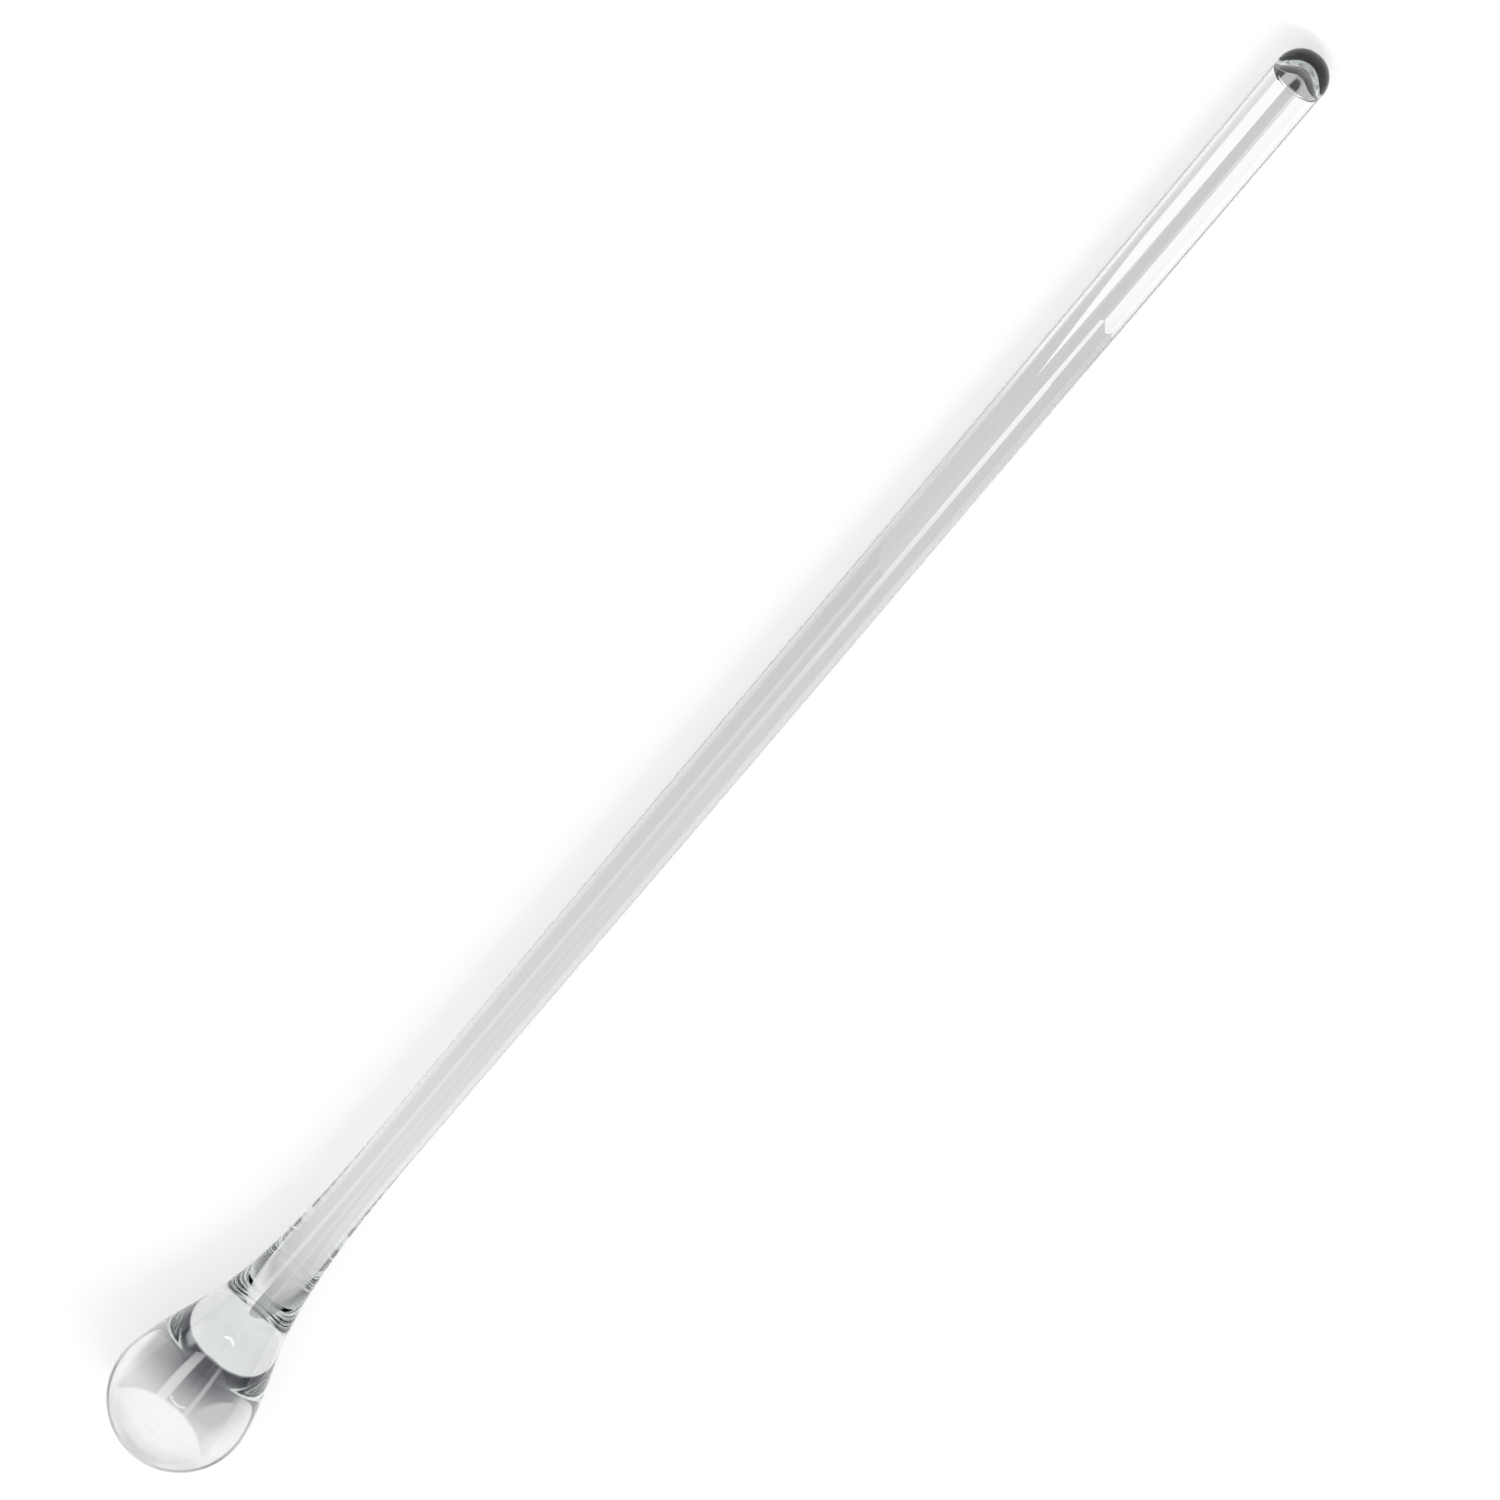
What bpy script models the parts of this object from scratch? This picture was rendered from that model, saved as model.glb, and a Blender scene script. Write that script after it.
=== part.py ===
"""A solid clear-glass rod with a drop-shaped ball end, lying on a surface.

The rod is lampworked from three sections of solid glass, fused end to end: the ball, the
neck that tapers away from it, and the drawn stem with its fire-polished round tip.
Units are metres and +Z is up.  The rod lies along X with its tip at +X.  Its ball and
its tip both touch z = 0, so its axis slopes down a little towards the thinner tip.
"""

import math

import bmesh
import bpy
from mathutils import Matrix, Vector

# Driving dimensions, measured along the rod's own axis from the end of the ball.
LENGTH = 0.250
BALL_RADIUS = 0.00818
TIP_RADIUS = 0.00310
WAIST_RADIUS = 0.00250       # the thinnest place, where the neck has become the stem
NECK_START = 0.0094          # where the ball's arc passes into the neck's curve
BALL_SEAM = 0.0125           # fused joint between the ball and the neck
WAIST_AT = 0.0540            # fused joint between the neck and the stem
BALL_HANDLE = 0.0120         # length of the neck curve's handle at the ball
WAIST_HANDLE = 0.0330        # length of the neck curve's handle at the waist
SEAM_GAP = 0.0003            # what touching solids keep between them

# How finely the round surfaces are cut into flat faces.
SIDES = 48                   # around the axis; a multiple of four sets flats square to Z
BALL_ARC_STEP = math.radians(7.5)
TIP_ARC_STEPS = 8
SHOULDER_STEPS = 4
NECK_STEPS = 20
STEM_STEPS = 10
WELD_DISTANCE = 1e-7
HALVINGS = 40                # of the interval that holds a point of the neck's curve

GLASS_IOR = 1.474
GLASS_ROUGHNESS = 0.02
GLASS_COLOUR = (0.93, 0.97, 0.95, 1.0)

BALL_CENTRE = BALL_RADIUS
TIP_CENTRE = LENGTH - TIP_RADIUS
TILT = math.asin((BALL_RADIUS - TIP_RADIUS) / (TIP_CENTRE - BALL_CENTRE))


def clear_scene():
    """Remove every object that the file starts with."""
    for obj in list(bpy.data.objects):
        bpy.data.objects.remove(obj, do_unlink=True)


def ball_radius_at(x):
    """Radius of the ball's arc at x."""
    return math.sqrt(BALL_RADIUS ** 2 - (x - BALL_CENTRE) ** 2)


def neck_handles():
    """The neck's cubic curve: its four control points, as (x, radius)."""
    start = Vector((NECK_START, ball_radius_at(NECK_START)))
    ball_slope = (BALL_CENTRE - start.x) / start.y
    waist = Vector((WAIST_AT, WAIST_RADIUS))
    leave_ball = start + BALL_HANDLE * Vector((1.0, ball_slope))
    reach_waist = waist - WAIST_HANDLE * Vector((1.0, 0.0))
    return start, leave_ball, reach_waist, waist


def neck_radius_at(x):
    """Radius of the neck at x, found on its curve by halving the interval."""
    start, leave_ball, reach_waist, waist = neck_handles()
    low, high = 0.0, 1.0
    for _ in range(HALVINGS):
        t = (low + high) / 2
        s = 1.0 - t
        point = (s ** 3 * start + 3 * s * s * t * leave_ball
                 + 3 * s * t * t * reach_waist + t ** 3 * waist)
        if point.x < x:
            low = t
        else:
            high = t
    return point.y


def stem_radius_at(x):
    """Radius of the stem at x: a slow, even widening from the waist to the tip."""
    along = (x - WAIST_AT) / (TIP_CENTRE - WAIST_AT)
    return WAIST_RADIUS + (TIP_RADIUS - WAIST_RADIUS) * along


def stations(first, last, steps):
    """Evenly spaced places from first to last, both included."""
    return [first + (last - first) * i / steps for i in range(steps + 1)]


def ball_outline():
    """From the end of the ball, over its equator and shoulder, to its seam."""
    quarter = round(math.pi / 2 / BALL_ARC_STEP)
    angles = [BALL_ARC_STEP * i for i in range(1, quarter + 1)]
    arc = [(BALL_CENTRE - BALL_RADIUS * math.cos(a), BALL_RADIUS * math.sin(a))
           for a in angles]
    places = stations(NECK_START, BALL_SEAM - SEAM_GAP / 2, SHOULDER_STEPS)
    return [(0.0, 0.0)] + arc + [(x, neck_radius_at(x)) for x in places]


def neck_outline():
    """From the ball's seam to the waist."""
    places = stations(BALL_SEAM + SEAM_GAP / 2, WAIST_AT - SEAM_GAP / 2, NECK_STEPS)
    return [(x, neck_radius_at(x)) for x in places]


def stem_outline():
    """From the waist along the drawn stem, and round the tip."""
    places = stations(WAIST_AT + SEAM_GAP / 2, TIP_CENTRE, STEM_STEPS)
    outline = [(x, stem_radius_at(x)) for x in places]
    for i in range(1, TIP_ARC_STEPS):
        angle = math.pi / 2 * i / TIP_ARC_STEPS
        outline.append((TIP_CENTRE + TIP_RADIUS * math.sin(angle),
                        TIP_RADIUS * math.cos(angle)))
    return outline + [(LENGTH, 0.0)]


def turned_mesh(name, outline, origin):
    """Turn an outline about the rod's axis into one closed mesh.

    The flats lie at the outline's radius, so the corners stand a little outside it, and
    the turn starts half a side round, so that one row of flats faces straight down.
    """
    to_corner = 1.0 / math.cos(math.pi / SIDES)
    bm = bmesh.new()
    row = [bm.verts.new((x - origin, 0.0, r * to_corner)) for x, r in outline]
    for a, b in zip(row, row[1:]):
        bm.edges.new((a, b))
    bmesh.ops.spin(bm, geom=bm.verts[:] + bm.edges[:], axis=(1, 0, 0), cent=(0, 0, 0),
                   angle=2 * math.pi, steps=SIDES)
    bmesh.ops.remove_doubles(bm, verts=bm.verts, dist=WELD_DISTANCE)
    open_rims = [edge for edge in bm.edges if edge.is_boundary]
    if open_rims:
        bmesh.ops.holes_fill(bm, edges=open_rims, sides=SIDES)
    bmesh.ops.rotate(bm, verts=bm.verts, cent=(0, 0, 0),
                     matrix=Matrix.Rotation(math.pi / SIDES, 3, "X"))
    bmesh.ops.recalc_face_normals(bm, faces=bm.faces)
    mesh = bpy.data.meshes.new(name)
    bm.to_mesh(mesh)
    bm.free()
    mesh.shade_smooth()
    mesh.set_sharp_from_angle(angle=math.radians(40))
    return mesh


def clear_glass(name):
    """Colourless borosilicate glass, with the faint green of its edges."""
    material = bpy.data.materials.new(name)
    material.use_nodes = True
    shader = material.node_tree.nodes["Principled BSDF"]
    shader.inputs["Base Color"].default_value = GLASS_COLOUR
    shader.inputs["Metallic"].default_value = 0.0
    shader.inputs["Roughness"].default_value = GLASS_ROUGHNESS
    shader.inputs["IOR"].default_value = GLASS_IOR
    shader.inputs["Transmission Weight"].default_value = 1.0
    return material


def lay_axis():
    """An empty at the end of the ball, turned so that ball and tip touch the ground."""
    axis = bpy.data.objects.new("rod_axis", None)
    bpy.context.scene.collection.objects.link(axis)
    ball_end = BALL_CENTRE * math.cos(TILT) - BALL_RADIUS
    tip_end = TIP_CENTRE * math.cos(TILT) + TIP_RADIUS
    axis.location = (-(ball_end + tip_end) / 2, 0.0,
                     BALL_RADIUS + BALL_CENTRE * math.sin(TILT))
    axis.rotation_euler = (0.0, TILT, 0.0)
    return axis


def add_section(name, outline, origin, axis):
    """One glass section, with its own origin at a place along the rod's axis."""
    section = bpy.data.objects.new(name, turned_mesh(name, outline, origin))
    section.data.materials.append(clear_glass(name + "_glass"))
    section.parent = axis
    section.location = (origin, 0.0, 0.0)
    bpy.context.scene.collection.objects.link(section)


def build():
    """Make the three fused sections and lay the rod down."""
    clear_scene()
    axis = lay_axis()
    add_section("bulb", ball_outline(), BALL_CENTRE, axis)
    add_section("neck", neck_outline(), BALL_SEAM, axis)
    add_section("stem", stem_outline(), WAIST_AT, axis)


build()
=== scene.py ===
"""The looks of a solid clear-glass rod with a drop-shaped ball end.

The frame gives where the ball, the neck and the stem lie.  The glass is one continuous
body in the real object, so one smooth turned piece stands for all three CAD sections.
Lengths are in metres, and +Z is up.
"""

import math

import bmesh
import bpy
from mathutils import Matrix, Vector


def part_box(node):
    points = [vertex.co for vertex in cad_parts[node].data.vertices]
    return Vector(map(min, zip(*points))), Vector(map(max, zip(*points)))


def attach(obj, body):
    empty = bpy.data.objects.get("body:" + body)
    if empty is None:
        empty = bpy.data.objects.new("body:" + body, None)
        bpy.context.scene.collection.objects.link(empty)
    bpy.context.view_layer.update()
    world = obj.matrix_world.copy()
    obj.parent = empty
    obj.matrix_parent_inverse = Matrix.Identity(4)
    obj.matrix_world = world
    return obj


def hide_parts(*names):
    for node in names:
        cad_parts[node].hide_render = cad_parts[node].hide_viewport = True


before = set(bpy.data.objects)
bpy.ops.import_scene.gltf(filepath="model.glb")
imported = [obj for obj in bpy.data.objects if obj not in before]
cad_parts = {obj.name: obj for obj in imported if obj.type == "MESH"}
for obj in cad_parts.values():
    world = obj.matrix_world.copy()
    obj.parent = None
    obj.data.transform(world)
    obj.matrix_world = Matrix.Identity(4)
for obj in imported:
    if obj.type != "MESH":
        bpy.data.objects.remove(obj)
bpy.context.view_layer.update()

# The turned shape, along the rod's own axis from the end of the ball.
BALL_LOW, BALL_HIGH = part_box("bulb")
STEM_LOW, STEM_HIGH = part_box("stem")
BALL_RADIUS = (BALL_HIGH.y - BALL_LOW.y) / 2
TIP_RADIUS = (STEM_HIGH.y - STEM_LOW.y) / 2
BALL_CENTRE = Vector((BALL_LOW.x + BALL_RADIUS, 0.0, BALL_RADIUS))
TIP_CENTRE = Vector((STEM_HIGH.x - TIP_RADIUS, 0.0, TIP_RADIUS))
AXIS = (TIP_CENTRE - BALL_CENTRE).normalized()
LIE = Vector((1, 0, 0)).rotation_difference(AXIS)
ROD_LENGTH = BALL_RADIUS + (TIP_CENTRE - BALL_CENTRE).length + TIP_RADIUS
WAIST_AT = 0.0540            # the narrowest place, between the neck and the stem
WAIST_RADIUS = 0.00250
NECK_START = 0.0094          # where the neck's curve leaves the ball's arc
BALL_HANDLE = 0.0120         # how far that curve's handles reach, from the ball and
WAIST_HANDLE = 0.0330        # back from the waist
DRAW_WAVE = 0.00007          # how far the hand-drawn stem swells and thins again

SIDES = 192                  # round the rod, and the steps along each part of its outline
BALL_STEPS = 96
NECK_STEPS = 150
STEM_STEPS = 80
TIP_STEPS = 40
WELD_DISTANCE = 1e-7


def ball_radius_at(x):
    """Radius of the ball's arc at x."""
    return math.sqrt(max(BALL_RADIUS ** 2 - (x - BALL_RADIUS) ** 2, 0.0))


def neck_outline():
    """The neck's cubic curve from the ball to the waist, as (x, radius) points."""
    start = Vector((NECK_START, ball_radius_at(NECK_START)))
    ball_slope = (BALL_RADIUS - start.x) / start.y
    waist = Vector((WAIST_AT, WAIST_RADIUS))
    leave_ball = start + BALL_HANDLE * Vector((1.0, ball_slope))
    reach_waist = waist - WAIST_HANDLE * Vector((1.0, 0.0))
    outline = []
    for i in range(NECK_STEPS + 1):
        t = i / NECK_STEPS
        s = 1.0 - t
        point = (s ** 3 * start + 3 * s * s * t * leave_ball
                 + 3 * s * t * t * reach_waist + t ** 3 * waist)
        outline.append((point.x, point.y))
    return outline


def stem_outline():
    """The drawn stem's slow widening to the tip, with the slight swell of hand drawing."""
    tip_at = ROD_LENGTH - TIP_RADIUS
    outline = []
    for i in range(1, STEM_STEPS + 1):
        along = i / STEM_STEPS
        radius = WAIST_RADIUS + (TIP_RADIUS - WAIST_RADIUS) * along
        swell = DRAW_WAVE * math.sin(2 * math.pi * along) * math.sin(math.pi * along)
        outline.append((WAIST_AT + (tip_at - WAIST_AT) * along, radius + swell))
    return outline


def rod_outline():
    """The whole rod's outline, from the end of the ball to the end of the tip."""
    last_angle = math.acos((BALL_RADIUS - NECK_START) / BALL_RADIUS)
    outline = [(0.0, 0.0)]
    for i in range(1, BALL_STEPS):
        angle = last_angle * i / BALL_STEPS
        outline.append((BALL_RADIUS * (1 - math.cos(angle)), BALL_RADIUS * math.sin(angle)))
    outline += neck_outline() + stem_outline()
    for i in range(1, TIP_STEPS):
        angle = math.pi / 2 * i / TIP_STEPS
        outline.append((ROD_LENGTH - TIP_RADIUS + TIP_RADIUS * math.sin(angle),
                        TIP_RADIUS * math.cos(angle)))
    return outline + [(ROD_LENGTH, 0.0)]


def turned_glass():
    """Turn the outline about the rod's axis into one closed, smooth body."""
    bm = bmesh.new()
    row = [bm.verts.new((x - BALL_RADIUS, 0.0, r)) for x, r in rod_outline()]
    for a, b in zip(row, row[1:]):
        bm.edges.new((a, b))
    bmesh.ops.spin(bm, geom=bm.verts[:] + bm.edges[:], axis=(1, 0, 0), cent=(0, 0, 0),
                   angle=2 * math.pi, steps=SIDES)
    bmesh.ops.remove_doubles(bm, verts=bm.verts, dist=WELD_DISTANCE)
    bmesh.ops.recalc_face_normals(bm, faces=bm.faces)
    bm.transform(Matrix.Translation(BALL_CENTRE) @ LIE.to_matrix().to_4x4())
    mesh = bpy.data.meshes.new("glass_rod")
    bm.to_mesh(mesh)
    bm.free()
    mesh.shade_smooth()
    rod = bpy.data.objects.new("glass_rod", mesh)
    bpy.context.scene.collection.objects.link(rod)
    return rod


GLASS_IOR = 1.474            # borosilicate glass
GLASS_TINT = (0.60, 0.95, 0.68, 1.0)
GLASS_DENSITY = 3.0          # how fast the tint deepens, per metre of glass
STRIA_LENGTH = 0.08          # the drawing lines' length, their spacing round the rod, and
STRIA_WIDTH = 0.0011         # how strongly they bend what shows through the glass
STRIA_DETAIL = 2.0
STRIA_STRENGTH = 0.022
STRIA_HEIGHT = 0.0001


def clear_glass():
    """Borosilicate glass: faintly green in depth, with the long fine lines of drawing."""
    material = bpy.data.materials.new("clear_glass")
    material.use_nodes = True
    nodes, links = material.node_tree.nodes, material.node_tree.links
    shader = nodes["Principled BSDF"]
    shader.inputs["Base Color"].default_value = (1.0, 1.0, 1.0, 1.0)
    shader.inputs["IOR"].default_value = GLASS_IOR
    shader.inputs["Transmission Weight"].default_value = 1.0
    shader.inputs["Roughness"].default_value = 0.0

    place = nodes.new("ShaderNodeTexCoord")
    stretch = nodes.new("ShaderNodeMapping")
    stretch.vector_type = "TEXTURE"
    stretch.inputs["Rotation"].default_value = LIE.to_euler()
    stretch.inputs["Scale"].default_value = (STRIA_LENGTH, STRIA_WIDTH, STRIA_WIDTH)
    striae = nodes.new("ShaderNodeTexNoise")
    striae.inputs["Scale"].default_value = 1.0
    striae.inputs["Detail"].default_value = STRIA_DETAIL
    bump = nodes.new("ShaderNodeBump")
    bump.inputs["Strength"].default_value = STRIA_STRENGTH
    bump.inputs["Distance"].default_value = STRIA_HEIGHT
    links.new(place.outputs["Object"], stretch.inputs["Vector"])
    links.new(stretch.outputs["Vector"], striae.inputs["Vector"])
    links.new(striae.outputs["Fac"], bump.inputs["Height"])
    links.new(bump.outputs["Normal"], shader.inputs["Normal"])

    depth = nodes.new("ShaderNodeVolumeAbsorption")
    depth.inputs["Color"].default_value = GLASS_TINT
    depth.inputs["Density"].default_value = GLASS_DENSITY
    output = nodes["Material Output"]
    links.new(depth.outputs["Volume"], output.inputs["Volume"])
    return material


rod = turned_glass()
rod.data.materials.append(clear_glass())
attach(rod, "root")
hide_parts("bulb", "neck", "stem")


# The stage, from here on: the floor, what the glass sees, the lights and the camera.
FLOOR_SIZE = 8.0
FLOOR_DROP = 0.0002          # the floor lies this far under the rod
FLOOR_COLOUR = (0.88, 0.88, 0.88, 1.0)
FLOOR_ROUGHNESS = 0.9


def plain_floor():
    """A plain pale floor, hidden from rays that have passed through the glass."""
    bpy.ops.mesh.primitive_plane_add(size=FLOOR_SIZE, location=(0, 0, -FLOOR_DROP))
    floor = bpy.context.object
    floor.name = "floor"
    material = bpy.data.materials.new("pale_floor")
    material.use_nodes = True
    shader = material.node_tree.nodes["Principled BSDF"]
    shader.inputs["Base Color"].default_value = FLOOR_COLOUR
    shader.inputs["Roughness"].default_value = FLOOR_ROUGHNESS
    shader.inputs["Specular IOR Level"].default_value = 0.0
    floor.data.materials.append(material)
    floor.visible_transmission = False


# How bright the surroundings are, by angle round the Y axis: 0 straight down,
# -90 level towards the ball's end, 90 level towards the tip's end.
SURROUND = (
    (-180, 0.03), (-145.5, 0.03), (-143.5, 0.78), (-125, 0.76), (-106, 0.80),
    (-103, 0.10), (-60, 0.12), (-49, 0.21), (-42, 0.36), (-34, 0.58), (-31.5, 0.66),
    (30, 0.66), (34, 0.35), (58, 0.30), (70, 0.80), (120, 0.85), (150, 0.40),
    (180, 0.03),
)
# How far that is lightened towards the sides, by the direction's Y part: two narrow
# strip lights stand either side of the middle, and white screens beyond them.
SIDES_LIGHT = (
    (-1.0, 0.85), (-0.72, 0.85), (-0.62, 0.42), (-0.44, 0.25), (-0.29, 0.13),
    (-0.20, 0.05), (-0.185, 0.52), (-0.10, 0.52), (-0.085, 0.02), (0.0, 0.0),
    (0.095, 0.02), (0.11, 0.32), (0.135, 0.32), (0.15, 0.04), (0.29, 0.12),
    (0.40, 0.20), (0.50, 0.55), (0.64, 0.74), (0.755, 0.85), (1.0, 0.85),
)
BLUER = 0.008                # added to the blue of every grey in a table of levels
LAMP_AT = math.radians(-85)  # a small lamp low beyond the ball's end, by the same angle
LAMP_HALF = math.radians(6)
LAMP_CORE = math.radians(3)
LAMP_COLOUR = (0.95, 0.95, 1.0, 1.0)
# Beyond the white screens the room is dark: the middle of the lit part, by the same
# angle, how far from it the dark starts and is full, and the size of the direction's Y
# part where the dark starts and is full.
DARK_AT = math.radians(-38)
DARK_FROM = math.radians(62)
DARK_FULL = math.radians(68)
DARK_SIDES = (0.25, 0.45)
DARK_COLOUR = (0.08, 0.08, 0.09, 1.0)
# A grey screen stands low beside the table: the direction of its middle, where its
# round edge starts to fade in, and where it is full.
SCREEN_AT = (-0.183, 0.707, -0.683)
SCREEN_REACH = math.radians(40)
SCREEN_FULL = math.radians(38)
SCREEN_COLOUR = (0.60, 0.60, 0.61, 1.0)
# The lit table: its middle and its levels, by the same angle, and its round edge.
TABLE_AT = math.radians(12)
TABLE_REACH = math.radians(45)
TABLE_FULL = math.radians(43.5)
TABLE_ANGLE = 60
TABLE_LEVELS = (
    (-TABLE_ANGLE, 0.97), (-13, 0.97), (-5, 0.89), (7, 0.81), (20, 0.74), (TABLE_ANGLE, 0.60),
)


def level_ramp(nodes, table, low, high):
    """A ColorRamp that holds grey levels at values between low and high."""
    ramp = nodes.new("ShaderNodeValToRGB")
    stops = ramp.color_ramp.elements
    while len(stops) < len(table):
        stops.new(0.5)
    for stop, (value, level) in zip(stops, table):
        stop.position = (value - low) / (high - low)
        stop.color = (level, level, level + BLUER, 1.0)
    return ramp


def mapped(nodes, links, value, low, high):
    """The value's place between low and high, as 0 to 1."""
    share = nodes.new("ShaderNodeMapRange")
    share.inputs["From Min"].default_value = low
    share.inputs["From Max"].default_value = high
    links.new(value, share.inputs["Value"])
    return share.outputs["Result"]


def at_angle(angle):
    """The direction in the XZ plane at an angle round the Y axis."""
    return (math.sin(angle), 0.0, -math.cos(angle))


def round_patch(nodes, links, direction, middle, outer, inner):
    """A share that goes from 0 at outer to 1 at inner, both angles off the middle direction."""
    patch = nodes.new("ShaderNodeVectorMath")
    patch.operation = "DOT_PRODUCT"
    patch.inputs[1].default_value = middle
    links.new(direction, patch.inputs[0])
    return mapped(nodes, links, patch.outputs["Value"], math.cos(outer), math.cos(inner))


def computed(nodes, links, operation, *values):
    """The result of a Math node on values that are sockets or numbers."""
    node = nodes.new("ShaderNodeMath")
    node.operation = operation
    for socket, value in zip(node.inputs, values):
        if isinstance(value, float):
            socket.default_value = value
        else:
            links.new(value, socket)
    return node.outputs["Value"]


def mixed(nodes, links, first, second, share, blend="MIX"):
    """Two colours mixed by a share; the second may be a plain colour, the share a number."""
    mix = nodes.new("ShaderNodeMix")
    mix.data_type = "RGBA"
    mix.blend_type = blend
    links.new(first, mix.inputs["A"])
    if isinstance(second, tuple):
        mix.inputs["B"].default_value = second
    else:
        links.new(second, mix.inputs["B"])
    if isinstance(share, float):
        mix.inputs["Factor"].default_value = share
    else:
        links.new(share, mix.inputs["Factor"])
    return mix.outputs["Result"]


def angle_round_y(nodes, links, split):
    """The angle round the Y axis of the direction that is split into its parts."""
    down = computed(nodes, links, "MULTIPLY", split.outputs["Z"], -1.0)
    return computed(nodes, links, "ARCTAN2", split.outputs["X"], down)


def surroundings():
    """The studio that shows in the glass, and gives the floor no light."""
    world = bpy.data.worlds.new("studio")
    bpy.context.scene.world = world
    world.use_nodes = True
    world.cycles_visibility.diffuse = False
    nodes, links = world.node_tree.nodes, world.node_tree.links
    place = nodes.new("ShaderNodeTexCoord")
    direction = place.outputs["Generated"]
    split = nodes.new("ShaderNodeSeparateXYZ")
    links.new(direction, split.inputs["Vector"])
    angle = angle_round_y(nodes, links, split)
    along = level_ramp(nodes, SURROUND, -180, 180)
    links.new(mapped(nodes, links, angle, -math.pi, math.pi), along.inputs["Fac"])
    across = level_ramp(nodes, SIDES_LIGHT, -1, 1)
    links.new(mapped(nodes, links, split.outputs["Y"], -1, 1), across.inputs["Fac"])
    lit = mixed(nodes, links, along.outputs["Color"], across.outputs["Color"], 1.0, "SCREEN")

    screen = round_patch(nodes, links, direction, SCREEN_AT, SCREEN_REACH, SCREEN_FULL)
    lit = mixed(nodes, links, lit, SCREEN_COLOUR, screen, "LIGHTEN")

    table = level_ramp(nodes, TABLE_LEVELS, -TABLE_ANGLE, TABLE_ANGLE)
    half = math.radians(TABLE_ANGLE)
    links.new(mapped(nodes, links, angle, -half, half), table.inputs["Fac"])
    on_table = round_patch(nodes, links, direction, at_angle(TABLE_AT), TABLE_REACH, TABLE_FULL)
    lit = mixed(nodes, links, lit, table.outputs["Color"], on_table)

    sideways = computed(nodes, links, "ABSOLUTE", split.outputs["Y"])
    to_side = mapped(nodes, links, sideways, *DARK_SIDES)
    beyond = round_patch(nodes, links, direction, at_angle(DARK_AT), DARK_FROM, DARK_FULL)
    dark = computed(nodes, links, "MULTIPLY", to_side, beyond)
    lit = mixed(nodes, links, lit, DARK_COLOUR, dark)

    lamp = round_patch(nodes, links, direction, at_angle(LAMP_AT), LAMP_HALF, LAMP_CORE)
    lit = mixed(nodes, links, lit, LAMP_COLOUR, lamp)
    links.new(lit, nodes["Background"].inputs["Color"])


# Flat cards under the rod, which only the glass sees.  The stem acts as a lens, so what
# lies on one side of it shows on the other.
VIEW_SLANT = math.radians(38)   # how far the camera looks along the rod, off square to it
LAYER = 0.0001               # cards that overlap lie this far above each other
EDGE_OUT = 0.046             # the dark surroundings start and end this far out sideways
FAR_OUT = 0.40
NEAR_DEPTH = 0.0006          # the grey card of painted shadow close under the neck and the stem
NEAR_START = BALL_CENTRE.x + 0.0035
NEAR_END = 0.0665
NEAR_HALF = 0.03
NEAR_CLEAR = ((NEAR_START, 0.30), (0.0580, 0.30), (NEAR_END, 1.0))
# Painted shadow: the rod's soft shadow on the floor under the neck and stem, darkest next to
# the ball where it rests on the floor.
NEAR_SHADOW_LEVELS = (
    (NEAR_START, 0.22), (-0.1095, 0.40), (-0.107, 0.43), (-0.1055, 0.62), (-0.1023, 0.72),
    (-0.0988, 0.80), (-0.09, 0.85), (-0.07, 0.83), (-0.02, 0.74), (0.02, 0.67),
    (NEAR_END, 0.645),
)
LINE_START = -0.03           # the line of painted light in the stem, which widens towards the neck
LIGHT_LINE_LEVELS = ((LINE_START, 0.70), (0.0, 0.72), (0.03, 0.80), (0.05, 0.92), (NEAR_END, 0.97))
FRINGE_START = -0.1145       # a strip of painted light that shows as fringes at the neck's ring lines
FRINGE_END = -0.1020
FRINGE_CLEAR = ((FRINGE_START, 0.0), (-0.1055, 0.0), (FRINGE_END, 1.0))
EDGE_START = -0.07           # the dark that shows along the stem's edge, and fades at its ends
EDGE_CLEAR = ((EDGE_START, 1.0), (-0.02, 0.0), (0.04, 0.0), (NEAR_END, 1.0))
DEEP = 0.0150                # the cards well under the last third of the stem
DEEP_START = 0.02
DEEP_END = TIP_CENTRE.x + 0.03
DEEP_HALF = 0.06
WEDGE_END = TIP_CENTRE.x - 0.0135
DEEP_LEVELS = ((DEEP_START, 0.61), (0.058, 0.63), (0.08, 0.71), (WEDGE_END, 0.81))
WHITE_LEVELS = ((0.03, 0.80), (0.05, 0.88), (0.068, 1.03))
TIP_HALF = 0.004             # half the width of the painted shadow close under the tip
# The tip's painted contact shadow: its depth, how dark it is, how much shows through it, and
# how deep its leaning pieces lie.
TIP_DEPTH = 0.0003
TIP_SHADOW = 0.04
TIP_SHADOW_CLEAR = 0.45
STEEP_SHADOW_DEPTH = 0.00002         # how deep the tops of the leaning cards lie
LOW_SHADOW_DEPTH = 0.00043
SHADE_DEPTH = 0.00075


def ramp_along(nodes, links, along, table, socket):
    """Feed the socket a grey ramp of the table's levels over the values it names."""
    low, high = table[0][0], table[-1][0]
    ramp = level_ramp(nodes, table, low, high)
    links.new(mapped(nodes, links, along, low, high), ramp.inputs["Fac"])
    links.new(ramp.outputs["Color"], socket)


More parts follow.
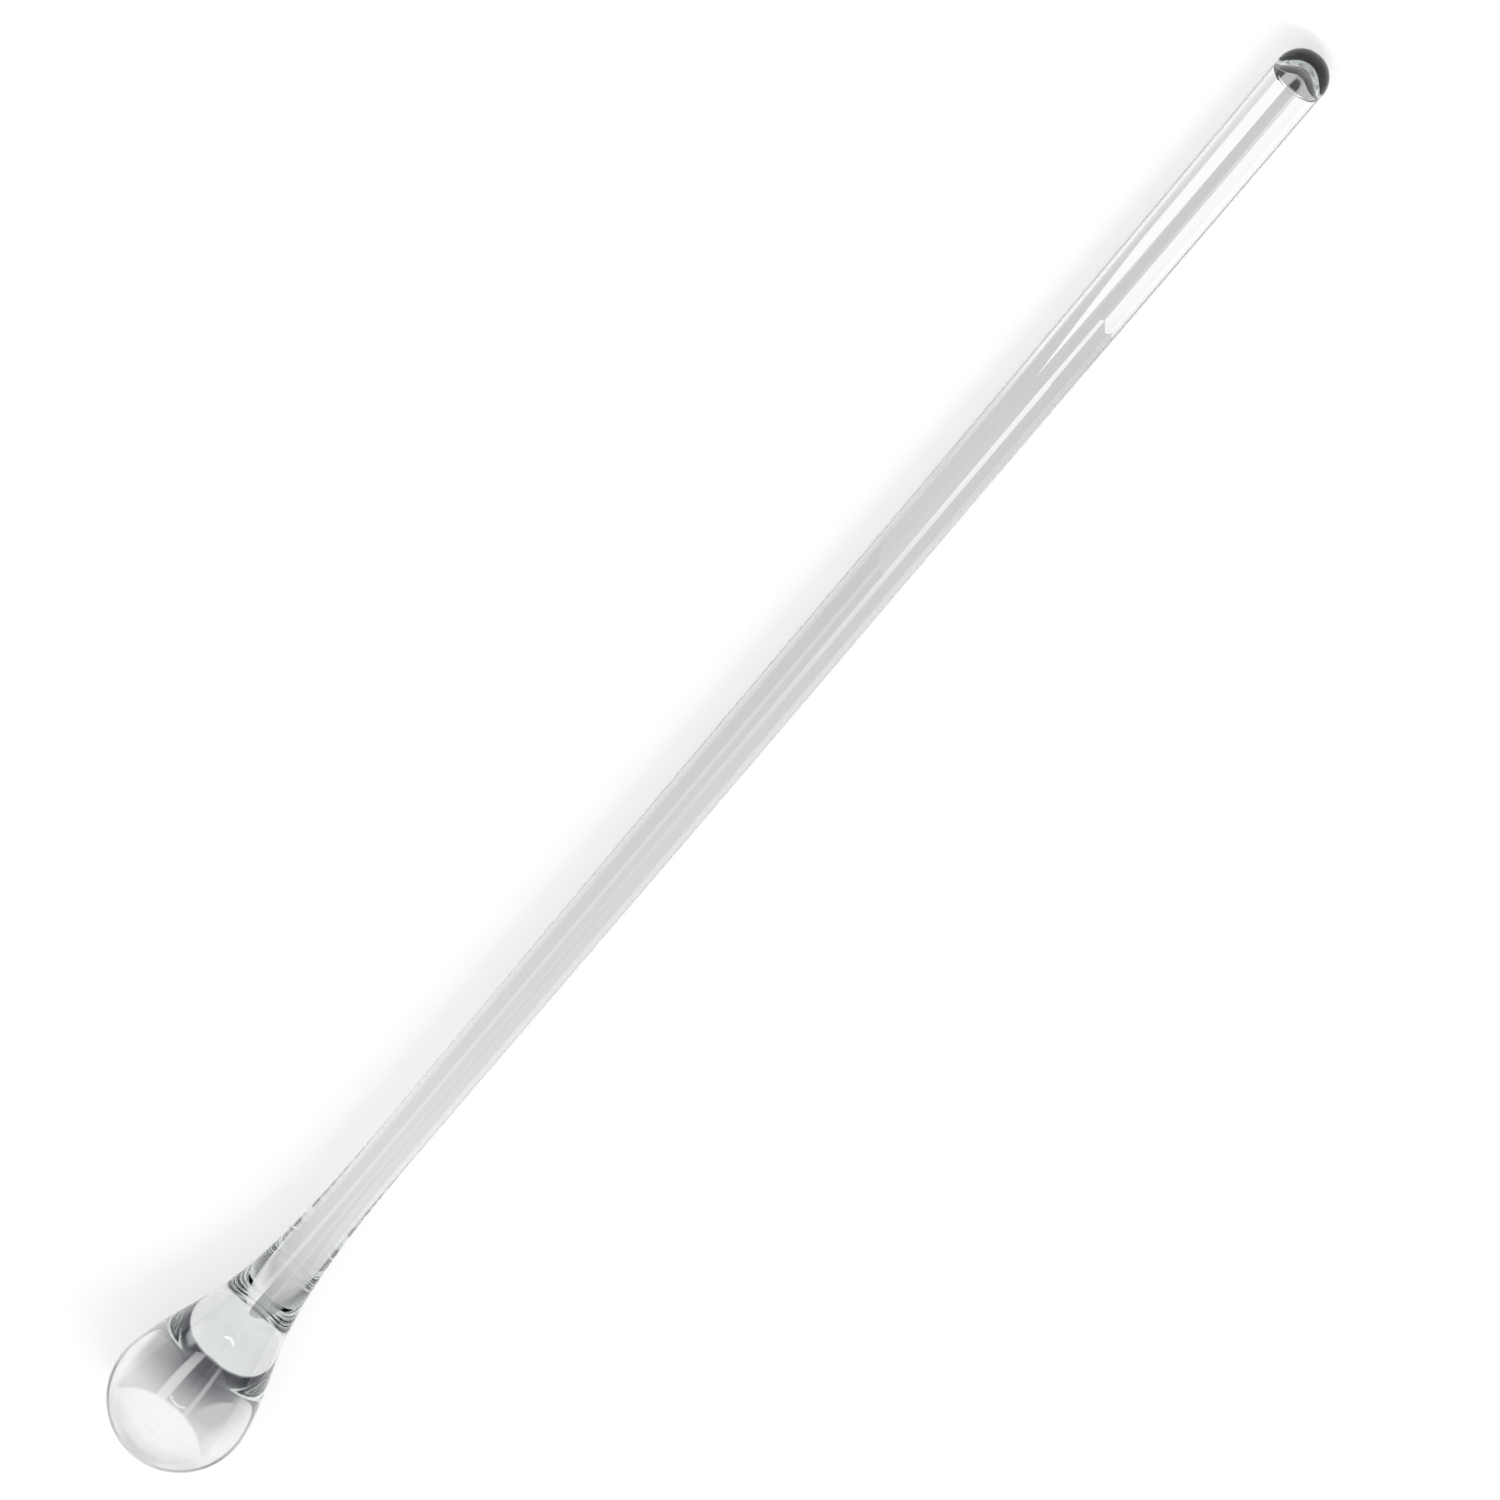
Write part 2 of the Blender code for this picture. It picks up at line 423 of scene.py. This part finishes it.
def card(name, outline, depth, levels, clear=0.0, lean=0.0):
    """A flat card under the rod that only the glass sees.

    The outline is (x, y) corners, levels the brightness and clear how much shows through:
    each is one number, or a table of values along X.  With lean the card sinks towards -X
    from its first corner, by lean for each unit of length.
    """
    mesh = bpy.data.meshes.new(name)
    first = outline[0][0]
    corners = [Vector((x, y, -depth - lean * (first - x))) for x, y in outline]
    mesh.from_pydata(corners, [], [range(len(corners))])
    plate = bpy.data.objects.new(name, mesh)
    bpy.context.scene.collection.objects.link(plate)
    material = bpy.data.materials.new(name)
    material.use_nodes = True
    nodes, links = material.node_tree.nodes, material.node_tree.links
    nodes.remove(nodes["Principled BSDF"])
    place = nodes.new("ShaderNodeTexCoord")
    split = nodes.new("ShaderNodeSeparateXYZ")
    links.new(place.outputs["Object"], split.inputs["Vector"])
    glow = nodes.new("ShaderNodeEmission")
    if isinstance(levels, tuple):
        ramp_along(nodes, links, split.outputs["X"], levels, glow.inputs["Color"])
    else:
        glow.inputs["Color"].default_value = (levels, levels, levels, 1.0)
    through = nodes.new("ShaderNodeBsdfTransparent")
    both = nodes.new("ShaderNodeMixShader")
    if isinstance(clear, tuple):
        ramp_along(nodes, links, split.outputs["X"], clear, both.inputs["Fac"])
    else:
        both.inputs["Fac"].default_value = clear
    links.new(glow.outputs["Emission"], both.inputs[1])
    links.new(through.outputs["BSDF"], both.inputs[2])
    links.new(both.outputs["Shader"], nodes["Material Output"].inputs["Surface"])
    plate.data.materials.append(material)
    plate.visible_camera = False
    plate.visible_diffuse = False
    plate.visible_glossy = False
    plate.visible_shadow = False


def box_outline(x0, y0, x1, y1):
    """The corners of a card with its sides along X and Y."""
    return ((x0, y0), (x1, y0), (x1, y1), (x0, y1))


def near_cards():
    """The grey card of painted shadow close under the neck and stem, with two strips of painted
    light and a dark strip on it.
    """
    # Painted shadow of the rod on the floor beneath it.
    grey = box_outline(NEAR_START, -NEAR_HALF, NEAR_END, NEAR_HALF)
    card("near_card", grey, depth=NEAR_DEPTH, levels=NEAR_SHADOW_LEVELS, clear=NEAR_CLEAR)
    above = NEAR_DEPTH - LAYER
    # A line of painted light on the painted shadow.
    line = (
        (LINE_START, 0.00038), (NEAR_END, 0.00014), (NEAR_END, 0.00039), (LINE_START, 0.00104),
    )
    card("near_light_line", line, depth=above, levels=LIGHT_LINE_LEVELS)
    # A strip of painted light under the neck.
    fringe = box_outline(FRINGE_START, -NEAR_HALF, FRINGE_END, -0.0006)
    card("neck_light", fringe, depth=above, levels=0.90, clear=FRINGE_CLEAR)
    edge = (
        (EDGE_START, -0.0150), (NEAR_END, -0.0055), (NEAR_END, -FAR_OUT),
        (EDGE_START, -FAR_OUT),
    )
    card("near_edge", edge, depth=above, levels=0.35, clear=EDGE_CLEAR)


def deep_cards():
    """Grey and white cards, which the stem draws out into long bands near the tip."""
    ground = box_outline(DEEP_START, -DEEP_HALF, DEEP_END, DEEP_HALF)
    card("deep_card", ground, depth=DEEP, levels=DEEP_LEVELS)
    # The grey core, and the pale band along the edge beyond the white wedge.
    second = DEEP - LAYER
    core = box_outline(DEEP_START, -0.0020, DEEP_END, 0.0024)
    card("middle_card", core, depth=second, levels=0.61)
    pale = box_outline(0.03, -DEEP_HALF, DEEP_END, -0.0195)
    card("side_card", pale, depth=second, levels=0.98)
    # The broad white band, which starts bluntly and fills one side as far as the tip.
    white = (
        (0.0665, 0.0039), (DEEP_END, 0.0039), (DEEP_END, DEEP_HALF), (0.032, DEEP_HALF),
        (0.052, 0.029), (0.0595, 0.018), (0.0630, 0.010),
    )
    card("white_card", white, depth=second, levels=WHITE_LEVELS)
    # The white band that starts as a long point, and the light line before the broad band.
    third = DEEP - 2 * LAYER
    wedge = (
        (0.0540, -0.0040), (0.076, -0.0028), (WEDGE_END, -0.0019), (WEDGE_END, -0.0087),
        (0.076, -0.0093),
    )
    card("wedge_card", wedge, depth=third, levels=1.03)
    line = ((0.050, 0.0016), (0.0665, 0.0020), (0.0665, 0.0040), (0.050, 0.0043))
    card("deep_line", line, depth=third, levels=0.95)
    # The dark surroundings at both sides, which draw the stem's edges.
    top = DEEP - 3 * LAYER
    right = box_outline(-FAR_OUT, EDGE_OUT, DEEP_END, FAR_OUT)
    card("edge_right", right, depth=top, levels=0.22)
    left = box_outline(-FAR_OUT, -FAR_OUT, DEEP_END, -EDGE_OUT)
    card("edge_left", left, depth=top, levels=0.45)


def tip_cards():
    """Painted contact shadow where the tip rests on the floor, as dark cards by distance along
    X from the middle of its round end.

    The leaning ones lie along the camera's line of sight, so only rays that the round end
    has bent more steeply meet them.
    """
    tip = TIP_CENTRE.x
    slope = 1 / math.tan(VIEW_SLANT)
    under = box_outline(tip - 0.0029, -TIP_HALF, tip + 0.001, TIP_HALF)
    card("tip_card", under, depth=TIP_DEPTH, levels=TIP_SHADOW, clear=TIP_SHADOW_CLEAR)
    # The steepest rays meet the steep piece of painted shadow, and the others the low piece
    # further down.
    steep_shadow = box_outline(tip - 0.00303, -TIP_HALF, tip - 0.00335, TIP_HALF)
    card("tip_shadow_steep", steep_shadow, depth=STEEP_SHADOW_DEPTH, levels=TIP_SHADOW, lean=slope)
    low_shadow = box_outline(tip - 0.00335, -TIP_HALF, tip - 0.0046, TIP_HALF)
    card("tip_shadow_low", low_shadow, depth=LOW_SHADOW_DEPTH, levels=TIP_SHADOW, clear=TIP_SHADOW_CLEAR, lean=slope)
    # Two darker patches of painted shadow, which widen as the rays fan out below.
    start = tip - 0.00380
    end = tip - 0.00525
    middle = ((start, -0.00001), (end, -0.00017), (end, 0.00037), (start, 0.00002))
    card("shade_middle", middle, depth=SHADE_DEPTH, levels=0.05, lean=slope)
    side = ((start, -TIP_HALF), (end, -TIP_HALF), (end, -0.0011), (start, -0.00017))
    card("shade_side", side, depth=SHADE_DEPTH, levels=0.02, lean=slope)


# Each light: its place, its size and its power in watts.
FILL_LIGHT = ((0.0, 0.0, 3.0), (3.0, 3.0), 120.0)       # evenly lights the floor
KEY_LIGHT = ((0.15, -0.55, 0.85), (0.2, 0.5), 2.2)      # casts the soft shadow
TUBE_LIGHT = ((-0.765, 0.0, 3.0), (1.6, 0.04), 1.2)     # the crescent highlight on the neck


def softbox(name, place, size, power, shadow=False, seen=False):
    """A lamp of a given size that points at the origin; the glass reflects it if seen."""
    light = bpy.data.lights.new(name, "AREA")
    light.shape = "RECTANGLE"
    light.size, light.size_y = size
    light.energy = power
    light.use_shadow = shadow
    box = bpy.data.objects.new(name, light)
    bpy.context.scene.collection.objects.link(box)
    box.location = place
    box.rotation_mode = "QUATERNION"
    box.rotation_quaternion = (-box.location).to_track_quat("-Z", "Y")
    box.visible_camera = False
    box.visible_transmission = False
    box.visible_glossy = seen


# The camera looks down on the rod from its tip's side, VIEW_SLANT off square to the
# axis, and is rolled so that the rod runs from low left to high right.
ROD_RISE = math.radians(49.7)
CAMERA_DISTANCE = 5.0
PICTURE_WIDTH = 0.16282      # of the plane through the rod's middle
SENSOR_WIDTH = 36.0
AIM_RIGHT = 0.00357          # the picture's middle, right of and above the rod's middle
AIM_UP = 0.00168


def picture_camera():
    """The camera, set by the rod's axis and by how the rod lies in the picture."""
    cross = Vector((0, -1, 0))
    square = cross.cross(AXIS).normalized()
    forward = -math.cos(VIEW_SLANT) * square - math.sin(VIEW_SLANT) * AXIS
    along = (AXIS - AXIS.dot(forward) * forward).normalized()
    right = math.cos(ROD_RISE) * along + math.sin(ROD_RISE) * cross
    up = math.sin(ROD_RISE) * along - math.cos(ROD_RISE) * cross
    ball_end = BALL_CENTRE - BALL_RADIUS * along
    tip_end = TIP_CENTRE + TIP_RADIUS * along
    middle = (ball_end + tip_end) / 2
    aim = middle + AIM_RIGHT * right + AIM_UP * up
    data = bpy.data.cameras.new("camera")
    data.sensor_width = SENSOR_WIDTH
    data.lens = SENSOR_WIDTH * CAMERA_DISTANCE / PICTURE_WIDTH
    camera = bpy.data.objects.new("camera", data)
    bpy.context.scene.collection.objects.link(camera)
    turn = Matrix((right, up, -forward)).transposed()
    camera.matrix_world = Matrix.Translation(aim - CAMERA_DISTANCE * forward) @ turn.to_4x4()
    bpy.context.scene.camera = camera


plain_floor()
surroundings()
near_cards()
deep_cards()
tip_cards()
softbox("fill", *FILL_LIGHT)
softbox("key", *KEY_LIGHT, shadow=True)
softbox("tube", *TUBE_LIGHT, seen=True)
picture_camera()

# Total reflection carries some rays through the glass many times.
GLASS_BOUNCES = 32
GLOSSY_BOUNCES = 16
scene = bpy.context.scene
scene.view_settings.view_transform = "Standard"
scene.cycles.max_bounces = GLASS_BOUNCES
scene.cycles.transmission_bounces = GLASS_BOUNCES
scene.cycles.glossy_bounces = GLOSSY_BOUNCES
scene.cycles.caustics_refractive = False
scene.cycles.caustics_reflective = False
